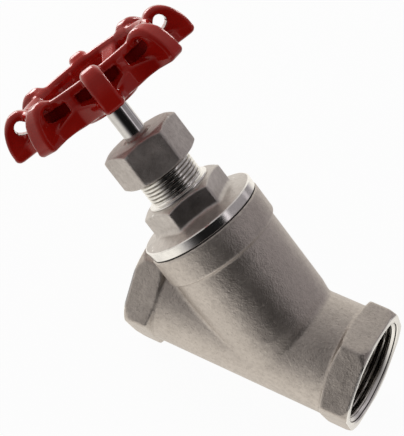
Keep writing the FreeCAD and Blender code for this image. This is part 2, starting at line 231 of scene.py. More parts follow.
def joinParts(parts):
    points, faces, start = [], [], 0
    for partPoints, partFaces in parts:
        points.append(partPoints)
        faces += [tuple(int(v) + start for v in face) for face in partFaces]
        start += len(partPoints)
    return np.concatenate(points), faces


# Nodes

def feed(tree, socket, value):  # another socket is linked, a value is set, and None leaves it as it is
    if isinstance(value, bpy.types.NodeSocket):
        tree.links.new(value, socket)
    elif value is not None:
        socket.default_value = value


def addNode(tree, kind, inputs=(), **settings):  # the inputs are named, or given in their order
    node = tree.nodes.new(kind)
    for label, value in settings.items():
        setattr(node, label, value)
    for key, value in inputs.items() if isinstance(inputs, dict) else enumerate(inputs):
        feed(tree, node.inputs[key], value)
    return node


def mathNode(tree, operation, *values):
    return addNode(tree, "ShaderNodeMath", values, operation=operation).outputs[0]


def vectorNode(tree, operation, *values):
    node = addNode(tree, "ShaderNodeVectorMath", values, operation=operation)
    return node.outputs["Value" if operation in ("DOT_PRODUCT", "LENGTH") else "Vector"]


def combineNode(tree, *values):
    return addNode(tree, "ShaderNodeCombineXYZ", values).outputs["Vector"]


def noiseNode(tree, vector, scale, detail=3.0, rough=0.55):
    inputs = {"Vector": vector, "Scale": scale, "Detail": detail, "Roughness": rough}
    return addNode(tree, "ShaderNodeTexNoise", inputs).outputs["Fac"]


def spread(tree, value, low=0, high=1, toLow=0, toHigh=1, kind="LINEAR"):
    inputs = {"Value": value, "From Min": low, "From Max": high, "To Min": toLow, "To Max": toHigh}
    return addNode(tree, "ShaderNodeMapRange", inputs, interpolation_type=kind).outputs["Result"]


def mixColour(tree, factor, first, second):
    node = addNode(tree, "ShaderNodeMix", [factor], data_type="RGBA")
    colours = [socket for socket in node.inputs if socket.type == "RGBA"]
    for socket, value in zip(colours, (first, second)):
        feed(tree, socket, (*value, 1) if isinstance(value, tuple) else value)
    return [socket for socket in node.outputs if socket.type == "RGBA"][0]


def layer(tree, value, low, high, share, first, second):  # the second colour, where the value nears high
    return mixColour(tree, spread(tree, value, low, high, 0, share), first, second)


def startTree(name, kind, inputs, outputs, outputKind):  # an input is given by its value, or by its kind
    kinds = {float: "NodeSocketFloat", int: "NodeSocketInt", tuple: "NodeSocketVector"}
    tree = bpy.data.node_groups.new(name, kind)
    for label, value in inputs.items():
        socketKind = kinds.get(type(value), value)
        socket = tree.interface.new_socket(label, in_out="INPUT", socket_type=socketKind)
        if type(value) in kinds:
            socket.default_value = value
    for label in outputs:
        tree.interface.new_socket(label, in_out="OUTPUT", socket_type=outputKind)
    return tree, tree.nodes.new("NodeGroupInput").outputs, tree.nodes.new("NodeGroupOutput").inputs


# Effects that several finishes share

def effectGroup(name, inputs, *outputs):
    inputs = {"Vector": "NodeSocketVector", **inputs}
    return startTree(name, "ShaderNodeTree", inputs, outputs, "NodeSocketFloat")


def makeCastGrain():  # blasted skin: fine grain over soft waves, broad mottling, speckle and small dark pits
    group, given, result = effectGroup("castGrain", {
        "Grain Scale": 1600.0, "Mottle Scale": 90.0, "Speckle Scale": 600.0, "Pit Amount": 0.3,
    }, "Height", "Mottle", "Speckle")
    calc = partial(mathNode, group)
    vector = given["Vector"]
    pitScale, pitLimit, waveScale = 700.0, 0.68, 260.0
    grain = noiseNode(group, vector, given["Grain Scale"], 2.0, 0.6)
    mottle = noiseNode(group, vector, given["Mottle Scale"], 5.0, 0.6)
    pits = calc("GREATER_THAN", noiseNode(group, vector, pitScale, 1.0, 0.5), pitLimit)
    pits = calc("MULTIPLY", pits, given["Pit Amount"])
    waves = noiseNode(group, vector, waveScale, 2.0, 0.5)
    height = calc("ADD", calc("MULTIPLY", grain, 0.6), calc("MULTIPLY", waves, 0.8))
    speckle = noiseNode(group, vector, given["Speckle Scale"], 3.0, 0.7)
    feed(group, result["Height"], calc("SUBTRACT", height, pits))
    feed(group, result["Mottle"], mottle)
    feed(group, result["Speckle"], calc("MULTIPLY_ADD", pits, -0.6, speckle))
    return group


def makeEdgeWearAndPaintedLight():  # bright edges and dark hollows, from how sharply the surface turns
    # On the steel these are rubbed edges and dirt; on the paint the same masks give a painted highlight along
    # edges and painted shade in hollows.
    group, given, result = effectGroup(
        "edgeWearAndPaintedLight", {"Edge Start": 0.52, "Edge End": 0.60, "Hollow Start": 0.48}, "Edges", "Hollows")
    sharpness = group.nodes.new("ShaderNodeNewGeometry").outputs["Pointiness"]
    hollowEnd, leastEdgeShare = 0.40, 0.35
    edge = spread(group, sharpness, given["Edge Start"], given["Edge End"])
    patches = mathNode(group, "ADD", noiseNode(group, given["Vector"], 420.0, 3.0, 0.6), leastEdgeShare)
    feed(group, result["Edges"], mathNode(group, "MULTIPLY", edge, patches))
    feed(group, result["Hollows"], spread(group, sharpness, given["Hollow Start"], hollowEnd))
    return group


def axisParts(tree, vector, axis):  # height along an axis, and distance from it
    around = vectorNode(tree, "CROSS_PRODUCT", vector, axis)
    return vectorNode(tree, "DOT_PRODUCT", vector, axis), vectorNode(tree, "LENGTH", around)


def makeTurningLines():  # fine rings left by a lathe tool, read along one axis
    inputs = {"Axis": (0, 0, 1), "Spacing": 2500.0}
    group, given, result = effectGroup("turningLines", inputs, "Height", "Shade")
    both = combineNode(group, *axisParts(group, given["Vector"], given["Axis"]))
    feed(group, result["Height"], noiseNode(group, both, given["Spacing"], 2.0, 0.6))
    feed(group, result["Shade"], noiseNode(group, both, 500.0, 2.0, 0.6))
    return group


def makeAxisReach():  # distance from an axis and height along it, in metres
    inputs = {"Axis": (0, 0, 1), "Centre": (0, 0, 0)}
    group, given, result = effectGroup("axisReach", inputs, "Radius", "Along")
    apart = vectorNode(group, "SUBTRACT", given["Vector"], given["Centre"])
    along, radius = axisParts(group, apart, given["Axis"])
    feed(group, result["Radius"], radius)
    feed(group, result["Along"], along)
    return group


castGrain = makeCastGrain()
edgeWearAndPaintedLight = makeEdgeWearAndPaintedLight()
turningLines = makeTurningLines()
axisReach = makeAxisReach()


def placeGroup(tree, group, vector, values):
    return addNode(tree, "ShaderNodeGroup", {"Vector": vector, **values}, node_tree=group).outputs


# Finishes

def newFinish(name):
    finish = bpy.data.materials.new(name)
    finish.use_nodes = True
    finish.node_tree.nodes.clear()
    return finish, finish.node_tree


def startFinish(name):
    finish, tree = newFinish(name)
    return finish, tree, tree.nodes.new("ShaderNodeTexCoord").outputs["Object"]


def endFinish(tree, height, distance, values):
    bump = addNode(tree, "ShaderNodeBump", {"Distance": distance, "Strength": 1.0, "Height": height})
    shader = addNode(tree, "ShaderNodeBsdfPrincipled", {**values, "Normal": bump.outputs["Normal"]})
    addNode(tree, "ShaderNodeOutputMaterial", [shader.outputs["BSDF"]])


def blastedSteel(name, look):
    finish, tree, where = startFinish(name)
    grain = placeGroup(tree, castGrain, where, {
        "Grain Scale": look["grain"], "Mottle Scale": look["mottle"], "Speckle Scale": look["speckle"],
        "Pit Amount": look["pits"]})
    wearAndPaintedLight = placeGroup(tree, edgeWearAndPaintedLight, where, {})
    colour = layer(tree, grain["Mottle"], 0.35, 0.65, 1, look["dark"], look["light"])
    colour = mixColour(tree, wearAndPaintedLight["Edges"], colour, look["edge"])
    colour = layer(tree, wearAndPaintedLight["Hollows"], 0, 1, look["dirt"], colour, look["hollow"])
    colour = layer(tree, grain["Speckle"], 0.58, 0.36, look["uneven"], colour, look["hollow"])
    rough = spread(tree, grain["Mottle"], 0.3, 0.7, look["rough"] - 0.05, look["rough"] + 0.05)
    endFinish(tree, grain["Height"], look["bump"], {
        "Base Color": colour, "Roughness": rough, "Metallic": 1.0})
    return finish


def turnedSteel(name, look, axis):
    finish, tree, where = startFinish(name)
    lines = placeGroup(tree, turningLines, where, {"Axis": axis, "Spacing": look["spacing"]})
    colour = layer(tree, lines["Shade"], 0.3, 0.7, 1, look["dark"], look["light"])
    # painted shade: the thread is darkened towards its root colour as the surface nears the root radius
    if "root" in look:
        place = placeGroup(tree, axisReach, where, {"Axis": axis, "Centre": stemFoot})
        colour = layer(tree, place["Radius"], *look["depth"], 1, colour, look["root"])
    rough = spread(tree, lines["Shade"], 0.3, 0.7, look["rough"] * 0.8, look["rough"] * 1.25)
    endFinish(tree, lines["Height"], look["bump"], {
        "Base Color": colour, "Roughness": rough, "Metallic": 1.0})
    return finish


def glossPaint(name, look):
    finish, tree, where = startFinish(name)
    wearAndPaintedLight = placeGroup(tree, edgeWearAndPaintedLight, where, {"Edge Start": 0.53, "Edge End": 0.62})
    place = placeGroup(tree, axisReach, where, {"Axis": stemAxis, "Centre": stemFoot})
    cloud = noiseNode(tree, where, 60.0, 4.0)
    colour = layer(tree, cloud, 0.35, 0.65, 1, look["dark"], look["light"])
    # painted highlight: sharp convex edges are lightened towards the edge colour
    colour = layer(tree, wearAndPaintedLight["Edges"], 0, 1, look["paintedEdgeHighlight"], colour, look["edge"])
    # painted shade: hollows are darkened towards the hollow colour
    colour = layer(tree, wearAndPaintedLight["Hollows"], 0, 1, 0.6, colour, look["hollow"])
    # painted shade: the rim's wall inside the pockets and eyes is darkened towards the hollow colour
    window = look["windowShade"]
    for part, outside, inside in look["window"]:
        window = mathNode(tree, "MULTIPLY", spread(tree, place[part], outside, inside), window)
    colour = mixColour(tree, window, colour, look["hollow"])
    rough = spread(tree, cloud, 0.3, 0.7, look["rough"] - 0.04, look["rough"] + 0.05)
    endFinish(tree, noiseNode(tree, where, 320.0, 2.0, 0.5), look["bump"], {
        "Base Color": colour, "Roughness": rough, "IOR": look["ior"], "Specular Tint": look["sheen"],
        "Coat Weight": look["coat"], "Coat Roughness": 0.05})
    return finish


def smoothPlastic(name, low, high, rough, bump):
    finish, tree, where = startFinish(name)
    cloud = noiseNode(tree, where, 240.0, 3.0, 0.6)
    endFinish(tree, noiseNode(tree, where, 1200.0, 2.0, 0.5), bump, {
        "Base Color": layer(tree, cloud, 0.3, 0.7, 1, low, high),
        "Roughness": spread(tree, cloud, 0.3, 0.7, rough - 0.06, rough + 0.06)})
    return finish


castLook = dict(
    rough=0.45, grain=1500.0, mottle=70.0, speckle=650.0, uneven=0.22, pits=0.3, bump=0.00027, dirt=0.55,
    dark=(0.60, 0.550, 0.505), light=(0.70, 0.645, 0.595), edge=(0.88, 0.83, 0.78),
    hollow=(0.24, 0.205, 0.18),
)
nutLook = dict(
    rough=0.50, grain=1500.0, mottle=110.0, speckle=600.0, uneven=0.22, pits=0.4, bump=0.00018, dirt=0.5,
    dark=(0.54, 0.50, 0.475), light=(0.68, 0.64, 0.61), edge=(0.88, 0.86, 0.83), hollow=(0.22, 0.19, 0.17),
)
bonnetLook = dict(
    nutLook, rough=0.38, mottle=100.0, uneven=0.18, pits=0.35, bump=0.00014, dark=(0.55, 0.515, 0.49),
    light=(0.69, 0.65, 0.62), edge=(0.92, 0.90, 0.87))
rimLook = dict(
    spacing=3000.0, rough=0.13, bump=0.00001, dark=(0.84, 0.825, 0.80), light=(0.95, 0.935, 0.91),
)
innerLook = dict(rimLook, rough=0.22, dark=(0.66, 0.645, 0.61), light=(0.80, 0.785, 0.75))
# root is a painted shade colour for the neck thread's roots, and depth the radii over which it comes in
neckLook = dict(
    rimLook, rough=0.17, dark=(0.74, 0.725, 0.69), light=(0.88, 0.865, 0.83), root=(0.42, 0.40, 0.37),
    depth=(0.01120, 0.01085))
stemLook = dict(
    rimLook, spacing=4000.0, rough=0.10, bump=0.000004, dark=(0.60, 0.59, 0.58), light=(0.70, 0.69, 0.68))
faceLook = dict(
    spacing=2600.0, rough=0.22, bump=0.00002, dark=(0.86, 0.84, 0.80), light=(0.97, 0.955, 0.93),
)
# root is a painted shade colour for the port thread's roots, and depth the radii over which it comes in
threadLook = dict(
    spacing=1200.0, rough=0.24, bump=0.00002, dark=(0.74, 0.71, 0.66), light=(0.90, 0.88, 0.84),
    root=(0.15, 0.135, 0.12), depth=(0.01965, 0.02060),
)
# edge is a painted highlight colour for sharp edges, and hollow a painted shade colour for hollows and for
# the rim's wall inside the pockets
paintLook = dict(
    rough=0.12, ior=1.5, sheen=(1.0, 0.56, 0.50, 1.0), coat=0.2, bump=0.00006, paintedEdgeHighlight=0.7,
    dark=(0.33, 0.005, 0.0025), light=(0.45, 0.011, 0.006), edge=(0.70, 0.20, 0.18),
    hollow=(0.07, 0.001, 0.0005), windowShade=0.7,
    window=[("Radius", 0.0286, 0.0278), ("Radius", 0.0264, 0.0269), ("Along", 0.1313, 0.1308),
            ("Along", 0.1266, 0.1271)],
)

stemAxis = (-leanCos, 0.0, leanSin)
stemFoot = (-layout["inletPlane"] / 1000, 0.0, 0.0)
runAxis = (1.0, 0.0, 0.0)
castSteel = blastedSteel("castSteel", castLook)
nutSteel = blastedSteel("nutSteel", nutLook)
bonnetSteel = blastedSteel("bonnetSteel", bonnetLook)
bonnetBright = turnedSteel("bonnetBright", rimLook, stemAxis)
portFaceSteel = turnedSteel("portFaceSteel", faceLook, runAxis)
portThreadSteel = turnedSteel("portThreadSteel", threadLook, runAxis)
neckThreadSteel = turnedSteel("neckThreadSteel", neckLook, stemAxis)
polishedStem = turnedSteel("polishedStem", stemLook, stemAxis)
innerSteel = turnedSteel("innerSteel", innerLook, stemAxis)
wheelPaint = glossPaint("wheelPaint", paintLook)
# a dull copy of the paint with weak reflections, for the rim's wall in the pockets: painted shade
wheelShadedPocketPaint = glossPaint("wheelShadedPocketPaint", dict(paintLook, ior=1.04, coat=0.0, rough=0.5))
sealWhite = smoothPlastic("sealWhite", (0.80, 0.79, 0.75), (0.88, 0.87, 0.83), 0.38, 0.00002)
gasketBlack = smoothPlastic("gasketBlack", (0.012, 0.012, 0.012), (0.03, 0.03, 0.03), 0.7, 0.00003)
print("stage: finishes made")


# Geometry Nodes trees

def geometryTree(name, inputs):
    last = {"Weld Distance": 0.001, "Finish": "NodeSocketMaterial"}
    inputs = {"Geometry": "NodeSocketGeometry", **inputs, **last}
    return startTree(name, "GeometryNodeTree", inputs, ["Geometry"], "NodeSocketGeometry")


def endTree(tree, given, result, geometry):
    real = addNode(tree, "GeometryNodeRealizeInstances", [geometry]).outputs["Geometry"]
    weld = addNode(tree, "GeometryNodeMergeByDistance", {
        "Geometry": real, "Distance": given["Weld Distance"]})
    paint = addNode(tree, "GeometryNodeSetMaterial", {
        "Geometry": weld.outputs["Geometry"], "Material": given["Finish"]})
    feed(tree, result["Geometry"], paint.outputs["Geometry"])


def makeThreadTree():  # a helical wall about the upright axis, with its ends faded to the crest
    tree, given, result = geometryTree("screwThread", {
        "Crest Radius": 10.0, "Root Radius": 9.0, "Pitch": 1.5, "Base": 0.0, "Top": 10.0, "Fade": 0.8,
        "Crest Share": 0.3, "Around": 96, "Along": 80})
    flankEnd = 0.9
    calc = partial(mathNode, tree)
    grid = addNode(tree, "GeometryNodeMeshGrid", {
        "Size X": 1, "Size Y": 1, "Vertices X": calc("ADD", given["Around"], 1),
        "Vertices Y": calc("ADD", given["Along"], 1)})
    flat = tree.nodes.new("GeometryNodeInputPosition").outputs["Position"]
    spot = addNode(tree, "ShaderNodeSeparateXYZ", [flat]).outputs
    turn = calc("ADD", spot["X"], 0.5)
    rise = calc("ADD", spot["Y"], 0.5)
    height = calc("MULTIPLY_ADD", rise, calc("SUBTRACT", given["Top"], given["Base"]), given["Base"])
    turns = calc("SUBTRACT", calc("DIVIDE", height, given["Pitch"]), turn)
    phase = calc("FRACT", calc("ADD", turns, 1000.0))
    away = calc("MULTIPLY", calc("ABSOLUTE", calc("SUBTRACT", phase, 0.5)), 2)
    flank = spread(tree, away, given["Crest Share"], flankEnd, kind="SMOOTHSTEP")
    fromBase = calc("DIVIDE", calc("SUBTRACT", height, given["Base"]), given["Fade"])
    fromTop = calc("DIVIDE", calc("SUBTRACT", given["Top"], height), given["Fade"])
    fade = calc("MINIMUM", calc("MINIMUM", fromBase, fromTop), 1)
    depth = calc("SUBTRACT", given["Root Radius"], given["Crest Radius"])
    radius = calc("ADD", given["Crest Radius"], calc("MULTIPLY", depth, calc("MULTIPLY", flank, fade)))
    angle = calc("MULTIPLY", turn, 2 * math.pi)
    place = combineNode(tree, calc("MULTIPLY", radius, calc("COSINE", angle)),
                        calc("MULTIPLY", radius, calc("SINE", angle)), height)
    moved = addNode(tree, "GeometryNodeSetPosition", {"Geometry": grid.outputs["Mesh"], "Position": place})
    endTree(tree, given, result, moved.outputs["Geometry"])
    return tree


def makeSectorTree():  # copies of one sector, evenly turned about the upright axis and welded
    tree, given, result = geometryTree("sectorsAround", {"Count": 4, "Start Angle": 0.0})
    spots = addNode(tree, "GeometryNodeMeshLine", {"Count": given["Count"], "Offset": (0, 0, 0)})
    index = tree.nodes.new("GeometryNodeInputIndex").outputs["Index"]
    share = mathNode(tree, "DIVIDE", mathNode(tree, "MULTIPLY", index, 2 * math.pi), given["Count"])
    turn = combineNode(tree, None, None, mathNode(tree, "ADD", share, given["Start Angle"]))
    copies = addNode(tree, "GeometryNodeInstanceOnPoints", {
        "Points": spots.outputs["Mesh"], "Instance": given["Geometry"], "Rotation": turn})
    endTree(tree, given, result, copies.outputs["Instances"])
    return tree


threadTree = makeThreadTree()
sectorTree = makeSectorTree()


def grow(tree, name, values, start=None):  # runs a tree and returns its points and faces
    carrier = addObject(name, start or bpy.data.meshes.new(name))
    modifier = carrier.modifiers.new("grow", "NODES")
    modifier.node_group = tree
    for item in tree.interface.items_tree:
        if item.item_type == "SOCKET" and item.in_out == "INPUT" and item.name in values:
            modifier[item.identifier] = values[item.name]
    grown = bpy.data.meshes.new_from_object(carrier.evaluated_get(bpy.context.evaluated_depsgraph_get()))
    points = np.zeros(len(grown.vertices) * 3)
    grown.vertices.foreach_get("co", points)
    faces = [tuple(face.vertices) for face in grown.polygons]
    bpy.data.objects.remove(carrier)
    bpy.data.meshes.remove(grown)
    return points.reshape(-1, 3), faces


def threadWall(name, size, finish):
    return grow(threadTree, name, {
        "Crest Radius": size["crest"], "Root Radius": size["root"], "Pitch": size["pitch"],
        "Base": size["base"], "Top": size["top"], "Fade": size["fade"], "Crest Share": size["crestShare"],
        "Around": size["around"], "Along": size["along"], "Weld Distance": 0.001, "Finish": finish})


# Valve body: one soft casting with open ports, and a bright threaded liner in each port

body = dict(
    runRadius=22.6, runEnds=(-57, 30), barrelRadius=23.2, barrelTop=53, footRadius=22.0, footHeight=12.0,
    crotch=4.0, crotchSharp=2.5, crotchMost=5.0, collarRadius=24.65, collarLow=47.1, joint=59.298,
    collarEdge=1.4, lipEdge=0.35, hexHalf=22.95, hexLength=12.3, cornerEdge=0.8, inletFace=24.5,
    outletFace=24.4, faceSlope=0.64, backRadius=23.4, backSlope=2.17, backScale=0.419, inletReach=35.7,
    outletReach=63.2, faceInset=0.2, linerHole=21.15, linerDepth=17.4, bore=18.0, seatTop=5.2, seatLow=1.0,
    seatBore=15.0, seatSpan=(-5, 8), chamber=19.6, bonnetBore=20.35, bonnetBoreLow=50.0, cell=0.7,
)


def aboutAxes(x, y, z):  # height and offset along the stem's axis, and the distance from each axis
    up, across = leanCos * (z - x), leanSin * (z + x)
    return up, across, radiusOf(y, z), radiusOf(across, y)


def hexEnd(along, y, z, runRadius, reach, faceRadius):
    b = SimpleNamespace(**body)
    block = np.abs(z) - b.hexHalf
    for aside in (sin60 * y, -sin60 * y):
        block = roundCut(block, np.abs(0.5 * z + aside) - b.hexHalf, b.cornerEdge)
    front = (runRadius - faceRadius - (reach - along) * b.faceSlope) / math.hypot(1, b.faceSlope)
    back = (runRadius - b.backRadius - (along - reach + b.hexLength) * b.backSlope) * b.backScale
    block = roundCut(roundCut(block, front, 0.5), back, 0.5)
    block = roundCut(block, along - reach + b.faceInset, 0.3)
    return roundCut(block, reach - b.hexLength - along, 0.3)


def bodyOutside(x, y, z):
    b = SimpleNamespace(**body)
    up, across, runRadius, stemRadius = aboutAxes(x, y, z)
    run = overlap(runRadius - b.runRadius, x - b.runEnds[1], b.runEnds[0] - x)
    taper = b.footRadius + (b.barrelRadius - b.footRadius) * np.clip(up / b.footHeight, 0, 1)
    barrel = overlap(stemRadius - taper, -up, up - b.barrelTop)
    # the crotch's rounding fades out where the two skins face the same way
    facing = (y * y + z * across * leanCos) / (runRadius * stemRadius)
    crotch = b.crotchSharp + (b.crotch - b.crotchSharp) * np.clip(across / 12 + 0.5, 0, 1)
    shell = roundJoin(run, barrel, np.clip(crotch * (1 - facing), 0.01, b.crotchMost))
    collar = roundCut(stemRadius - b.collarRadius, b.collarLow - up, b.collarEdge)
    shell = roundJoin(shell, roundCut(collar, up - b.joint, b.lipEdge), 0.7)
    for along, side in ((x, "inlet"), (-x, "outlet")):
        end = hexEnd(along, y, z, runRadius, body[side + "Reach"], body[side + "Face"])
        shell = roundJoin(shell, end, 0.9)
    return shell


def bodyInside(x, y, z):
    b = SimpleNamespace(**body)
    up, across, runRadius, stemRadius = aboutAxes(x, y, z)
    under = overlap(runRadius - b.bore, up - b.seatLow)
    over = overlap(runRadius - b.bore, b.seatTop - up)
    chamber = overlap(stemRadius - b.chamber, b.seatTop - up)
    seat = overlap(stemRadius - b.seatBore, b.seatSpan[0] - up, up - b.seatSpan[1])
    top = overlap(stemRadius - b.bonnetBore, b.bonnetBoreLow - up)
    space = union(under, over, chamber, seat, top)
    for along, reach in ((x, b.inletReach), (-x, b.outletReach)):
        space = union(space, overlap(runRadius - b.linerHole, reach - b.linerDepth - along))
    return space


def bodyField(x, y, z):
    return roundCut(bodyOutside(x, y, z), -bodyInside(x, y, z), 0.4)


bodyPoints, bodyFaces = skinField(bodyField, (-65, -28, -25), (37.5, 28, 61), body["cell"])
settle(makePiece("bodyCasting", bodyPoints, bodyFaces, castSteel), "valve", "cast_steel", "valve_body")
print("stage: body casting", len(bodyFaces))

port = dict(
    crest=19.475, root=20.9, pitch=2.309, fade=1.2, crestShare=0.12, around=144, along=84, outer=21.35,
    mouth=21.4, ringOuter=24.38, ringFlat=22.9, ringDepth=0.6, lip=0.25, backGap=17.5,
    firstTurn=[(0.95, 0.95), (0.35, 0.82), (0.55, 0.55)], turnDepth=(0.6, 0.92), turnRadius=(20.5, 21.1),
)


def portLiner(name, reach, sign):  # its first turn is cut into the mouth's bevel
    p = SimpleNamespace(**port)
    threadTop = reach - (p.mouth - p.crest)
    threadBase = reach - p.backGap + 0.2
    wall, wallFaces = threadWall(name, dict(port, base=threadBase, top=threadTop), portThreadSteel)
    rest = [
        (p.crest, threadTop), *[(p.mouth - inward, reach - down) for inward, down in p.firstTurn],
        (p.mouth - 0.1, reach - 0.12), (p.mouth + 0.15, reach), (p.ringOuter - p.lip, reach),
        (p.ringOuter, reach - p.lip), (p.ringOuter, reach - p.ringDepth), (p.outer, reach - p.ringDepth),
        (p.outer, reach - p.backGap), (p.crest, reach - p.backGap), (p.crest, threadBase),
    ]
    points, faces = joinParts([(wall, wallFaces), turnedShell(rest, p.around)])
    points = alongRun(points, sign)
    # the face's ring keeps within the hexagon's flats
    y, z = np.abs(points[:, 1]), np.abs(points[:, 2])
    beyond = np.maximum(z, 0.5 * z + sin60 * y) / p.ringFlat
    points[:, 1:] /= np.maximum(beyond, 1)[:, None]

    def bright(number):
        middle = np.mean([points[corner] for corner in faces[number]], axis=0)
        away = math.hypot(middle[1], middle[2])
        inTurn = between(reach - abs(middle[0]), p.turnDepth) and between(away, p.turnRadius)
        return number >= len(wallFaces) and not inTurn

    piece = makePiece(name, points, faces, portThreadSteel)
    addFinish(piece, portFaceSteel, bright)
    weldPiece(piece)
    settle(piece, "valve", "turned_steel", "valve_body")


portLiner("inletPortThread", body["inletReach"], 1)
portLiner("outletPortThread", body["outletReach"], -1)
print("stage: port threads")

# Bonnet: turned core with its neck thread, and the blasted flange and hexagon round it

bonnet = dict(
    rimRadius=24.5, rimBase=59.698, rimTop=63.798, rimEdge=0.35, flange=24.2, domeInner=17.2, domeTop=65.7,
    hexHalf=15.5, hexTop=75.0, hexTurn=math.radians(-10.6), foot=1.5, neckRing=13.2, neckBase=76.3,
    neckTop=95.498, neck=11.45, neckEdge=0.9, core=11.3, packing=8.05, packingBase=82.998, screw=6.06,
    relief=7.06, reliefBase=79.498, spigot=20.27, spigotIn=17.07, spigotBase=50.698, bell=61.698, cell=0.45,
)
neckThread = dict(
    crest=11.45, root=10.7, pitch=1.5, fade=0.5, crestShare=0.42, around=120, along=132, base=77.1,
    top=94.5,
)


def hexDistance(across, side, half, turn, edge):
    distance = None
    for step in range(3):
        angle = turn + math.radians(30 + 60 * step)
        pair = np.abs(across * math.cos(angle) + side * math.sin(angle)) - half
        distance = pair if distance is None else roundCut(distance, pair, edge)
    return distance


def cornerCone(radius, half, inset, below):  # the cone that takes off a hexagon's corners
    slope, scale = 1.9, 0.466
    return (radius - half + inset - below * slope) * scale


def bonnetField(across, side, up):
    b = SimpleNamespace(**bonnet)
    radius = radiusOf(across, side)
    slope = (b.domeTop - b.rimTop) / (b.flange - b.domeInner)
    dome = overlap(up - b.rimTop - (b.flange - radius) * slope, up - b.domeTop - 0.2)
    flange = roundCut(roundCut(radius - b.flange, dome, 0.5), b.rimTop - 1.2 - up, 0.2)
    block = overlap(hexDistance(across, side, b.hexHalf, b.hexTurn, 0.7), b.rimTop - up)
    cone = cornerCone(radius, b.hexHalf, 0.6, b.hexTop - up)
    block = roundCut(roundCut(block, cone, 0.4), up - b.hexTop, 0.3)
    return roundCut(roundJoin(flange, block, b.foot), b.core - 0.15 - radius, 0.2)


def bonnetOutline():
    b = SimpleNamespace(**bonnet)
    edge, top, base = b.rimEdge, b.rimTop, b.spigotBase
    return [
        (neckThread["crest"], neckThread["top"]), (b.neck, b.neckTop - b.neckEdge),
        (b.neck - b.neckEdge, b.neckTop), (b.packing, b.neckTop), (b.packing, b.packingBase),
        (b.relief, b.packingBase), (b.relief, b.reliefBase), (b.screw, b.reliefBase), (b.screw, b.bell),
        (b.spigotIn, b.bell), (b.spigotIn, base), (b.spigot - 0.4, base), (b.spigot, base + 0.4),
        (b.spigot, b.rimBase), (b.rimRadius - edge, b.rimBase), (b.rimRadius, b.rimBase + edge),
        (b.rimRadius, top - edge), (b.rimRadius - edge, top), (b.rimRadius - 1.0, top + 0.02),
        (b.rimRadius - 1.4, top - 0.4), (b.core, top - 0.4), (b.core, b.hexTop - 0.3),
        (b.neckRing - 0.2, b.hexTop - 0.1), (b.neckRing, b.hexTop + 0.1), (b.neckRing, b.hexTop + 0.65),
        (b.neckRing - 0.1, b.hexTop + 0.85), (b.neckRing - 0.3, b.hexTop + 0.95),
        (b.neck + 0.2, b.neckBase - 0.25), (b.neck - 0.1, b.neckBase),
        (b.neck - 0.15, neckThread["base"] - 0.3), (neckThread["crest"], neckThread["base"]),
    ]


def makeBonnet():
    points, faces = skinField(bonnetField, (-26, -26, 60.5), (26, 26, 76), bonnet["cell"])
    hexagon = makePiece("bonnetHexagon", leanBack(points), faces, bonnetSteel)
    settle(hexagon, "valve", "bonnet_steel", "bonnet")
    wall, wallFaces = threadWall("neckThread", neckThread, neckThreadSteel)
    points, faces = joinParts([(wall, wallFaces), turnedShell(bonnetOutline(), neckThread["around"])])
    core = makePiece("bonnetCore", leanBack(points), faces, neckThreadSteel)
    addFinish(core, bonnetBright, lambda number: number >= len(wallFaces))
    weldPiece(core)
    settle(core, "valve", "turned_steel", "bonnet")
    print("stage: bonnet")


makeBonnet()

# Nuts: the gland nut with its sunk ring, and the small nut that holds the wheel

glandNut = dict(
    half=14.45, turn=math.radians(-14.1), base=86.1, top=101.5, chamfer=1.2, footChamfer=0.3, edge=0.6,
    hole=4.95, recess=6.2, recessDepth=0.3, inside=11.53, insideTop=97.598, cell=0.42,
)
wheelNut = dict(
    half=5.0, turn=layout["wheelTurn"], base=124.698, top=129.698, chamfer=0.6, footChamfer=0.6, edge=0.25,
    hole=3.08, recess=0.0, recessDepth=0.0, inside=0.0, insideTop=0.0, cell=0.25,
)


def makeNut(name, nut, finish):
    n = SimpleNamespace(**nut)
    reach = n.half * 1.2 + 1

    def field(across, side, up):
        radius = radiusOf(across, side)
        block = hexDistance(across, side, n.half, n.turn, n.edge)
        for away, chamfer in ((n.top - up, n.chamfer), (up - n.base, n.footChamfer)):
            cone = cornerCone(radius, n.half, chamfer / 2, away)
            block = roundCut(roundCut(block, cone, n.edge / 2), -away, n.edge / 2)
        recess = overlap(radius - n.recess, n.top - n.recessDepth - up)
        hollow = union(radius - n.hole, recess, overlap(radius - n.inside, up - n.insideTop))
        return roundCut(block, -hollow, 0.25)

    points, faces = skinField(field, (-reach, -reach, n.base - 1), (reach, reach, n.top + 1), n.cell)
    return makePiece(name, leanBack(points), faces, finish)


settle(makeNut("glandNut", glandNut, nutSteel), "valve", "nut_steel", "gland_nut")
settle(makeNut("wheelNut", wheelNut, innerSteel), "spindle", "turned_steel", "wheel_nut")
print("stage: nuts")

# Stem: head, screw thread, polished shaft, square and stud, and the wheel's washer

stem = dict(
    head=8.0, headBase=15.16, headTop=19.16, shank=6.0, screwTop=72.0, shaft=4.65, shaftRings=(90.0, 103.0),
    hubBase=115.898, squareTop=123.498, square=3.5, stud=3.0, top=130.398, edge=0.4, around=96,
)
screwThread = dict(
    crest=6.0, root=4.95, pitch=2.5, fade=1.0, crestShare=0.3, around=96, along=96, base=51.7, top=71.0,
)
washer = [(3.08, 123.498), (5.7, 123.498), (6.0, 123.7), (6.0, 124.45), (5.7, 124.698), (3.08, 124.698)]


def squareRadius(angle):  # the square's outline, its corners cut by the shaft
    local = (angle + math.pi / 4) % (math.pi / 2) - math.pi / 4
    return min(stem["square"] / math.cos(local), stem["shaft"] - 0.02)


def sectionRing(radiusAt, height):
    angles = [step * 2 * math.pi / stem["around"] for step in range(stem["around"])]
    return [(radiusAt(a) * math.cos(a), radiusAt(a) * math.sin(a), height) for a in angles]


